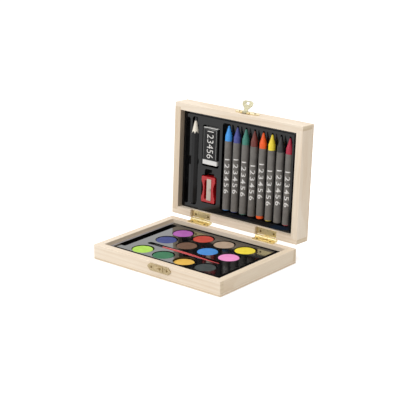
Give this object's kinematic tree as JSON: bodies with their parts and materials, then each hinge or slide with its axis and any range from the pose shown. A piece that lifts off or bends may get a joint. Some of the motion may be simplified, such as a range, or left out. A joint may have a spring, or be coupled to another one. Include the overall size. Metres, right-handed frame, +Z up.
{
  "type": "wooden art set case",
  "caption": "Hinged wooden case, open: watercolour cakes and a brush in the base; wax crayons, a pencil, an eraser and a sharpener in the lid; a brass clasp.",
  "frame": {"origin": "middle of the base's underside", "axes": "+X to the right along the case's width, +Y to the back where the hinges are, +Z up"},
  "size_m": [0.17, 0.1538, 0.1573],
  "materials": {
    "wood": "pale, smooth",
    "plywood": "pale, smooth",
    "brass": "bright, plated",
    "tray_plastic": "glossy black",
    "paint_orchid": "dry watercolour",
    "paint_vermilion": "dry watercolour",
    "paint_beige": "dry watercolour",
    "paint_yellow": "dry watercolour",
    "paint_navy": "dry watercolour",
    "paint_brown": "dry watercolour",
    "paint_sky_blue": "dry watercolour",
    "paint_pink": "dry watercolour",
    "paint_lime": "dry watercolour",
    "paint_green": "dry watercolour",
    "paint_amber": "dry watercolour",
    "paint_black": "dry watercolour",
    "wax_sky_blue": "wax",
    "wax_violet": "wax",
    "wax_green": "wax",
    "wax_brown": "wax",
    "wax_orange": "wax",
    "wax_yellow": "wax",
    "wax_black": "wax",
    "wax_red": "wax",
    "wrapper_paper": "printed paper",
    "pencil_paint": "painted wood",
    "pencil_lead": "graphite",
    "eraser_rubber": "matte white",
    "sleeve_card": "printed card",
    "red_plastic": "glossy red",
    "blade_steel": "ground",
    "brush_paint": "lacquered red",
    "ferrule_metal": "black",
    "hair": "dark bristle"
  },
  "bodies": {
    "base": {"base_front_board": "wood", "base_back_board": "wood", "base_left_board": "wood", "base_right_board": "wood", "base_bottom_panel": "plywood", "hinge_base_leaves": "brass", "hinge_pins": "brass", "catch_plate": "brass", "base_nails": "brass", "paint_tray": "tray_plastic", "paint_orchid": "paint_orchid", "paint_vermilion": "paint_vermilion", "paint_beige": "paint_beige", "paint_yellow": "paint_yellow", "paint_navy": "paint_navy", "paint_brown": "paint_brown", "paint_sky_blue": "paint_sky_blue", "paint_pink": "paint_pink", "paint_lime": "paint_lime", "paint_green": "paint_green", "paint_amber": "paint_amber", "paint_black": "paint_black"},
    "lid": {"lid_back_board": "wood", "lid_front_board": "wood", "lid_left_board": "wood", "lid_right_board": "wood", "lid_top_panel": "plywood", "hinge_lid_leaves": "brass", "clasp_plate": "brass", "clasp_pin": "brass", "lid_nails": "brass", "tool_tray": "tray_plastic"},
    "tongue": {"clasp_tongue": "brass"},
    "brush": {"brush_handle": "brush_paint", "brush_ferrule": "ferrule_metal", "brush_hair": "hair"},
    "pencil": {"pencil_casing": "pencil_paint", "pencil_lead": "pencil_lead"},
    "eraser": {"eraser_block": "eraser_rubber", "eraser_sleeve": "sleeve_card"},
    "sharpener": {"sharpener_body": "red_plastic", "sharpener_blade": "blade_steel", "sharpener_screw": "blade_steel"},
    "sky_blue_crayon": {"crayon_sky_blue": "wax_sky_blue", "wrapper_sky_blue": "wrapper_paper"},
    "violet_crayon": {"crayon_violet": "wax_violet", "wrapper_violet": "wrapper_paper"},
    "green_crayon": {"crayon_green": "wax_green", "wrapper_green": "wrapper_paper"},
    "brown_crayon": {"crayon_brown": "wax_brown", "wrapper_brown": "wrapper_paper"},
    "orange_crayon": {"crayon_orange": "wax_orange", "wrapper_orange": "wrapper_paper"},
    "yellow_crayon": {"crayon_yellow": "wax_yellow", "wrapper_yellow": "wrapper_paper"},
    "black_crayon": {"crayon_black": "wax_black", "wrapper_black": "wrapper_paper"},
    "red_crayon": {"crayon_red": "wax_red", "wrapper_red": "wrapper_paper"}
  },
  "joints": [
    {"name": "lid_hinge", "type": "hinge", "parent": "base", "child": "lid", "pos_m": [0, 0.0642, 0.0181], "axis": [-1, 0, 0], "range_deg": [-93, 0]},
    {"name": "clasp_hinge", "type": "hinge", "parent": "lid", "child": "tongue", "pos_m": [0.0065, 0.07399, 0.14571], "axis": [-1, 0, 0], "range_deg": [-114, 33]},
    {"name": "brush_lift", "type": "slide", "parent": "base", "child": "brush", "axis": [0, 0, 1], "range_m": [0, 0.03]},
    {"name": "sky_blue_crayon_lift", "type": "slide", "parent": "lid", "child": "sky_blue_crayon", "axis": [0, -0.9986, 0.0523], "range_m": [0, 0.03]},
    {"name": "violet_crayon_lift", "type": "slide", "parent": "lid", "child": "violet_crayon", "axis": [0, -0.9986, 0.0523], "range_m": [0, 0.03]},
    {"name": "green_crayon_lift", "type": "slide", "parent": "lid", "child": "green_crayon", "axis": [0, -0.9986, 0.0523], "range_m": [0, 0.03]},
    {"name": "brown_crayon_lift", "type": "slide", "parent": "lid", "child": "brown_crayon", "axis": [0, -0.9986, 0.0523], "range_m": [0, 0.03]},
    {"name": "orange_crayon_lift", "type": "slide", "parent": "lid", "child": "orange_crayon", "axis": [0, -0.9986, 0.0523], "range_m": [0, 0.03]},
    {"name": "yellow_crayon_lift", "type": "slide", "parent": "lid", "child": "yellow_crayon", "axis": [0, -0.9986, 0.0523], "range_m": [0, 0.03]},
    {"name": "black_crayon_lift", "type": "slide", "parent": "lid", "child": "black_crayon", "axis": [0, -0.9986, 0.0523], "range_m": [0, 0.03]},
    {"name": "red_crayon_lift", "type": "slide", "parent": "lid", "child": "red_crayon", "axis": [0, -0.9986, 0.0523], "range_m": [0, 0.03]},
    {"name": "pencil_lift", "type": "slide", "parent": "lid", "child": "pencil", "axis": [0, -0.9986, 0.0523], "range_m": [0, 0.03]},
    {"name": "eraser_lift", "type": "slide", "parent": "lid", "child": "eraser", "axis": [0, -0.9986, 0.0523], "range_m": [0, 0.03]},
    {"name": "sharpener_lift", "type": "slide", "parent": "lid", "child": "sharpener", "axis": [0, -0.9986, 0.0523], "range_m": [0, 0.03]}
  ]
}
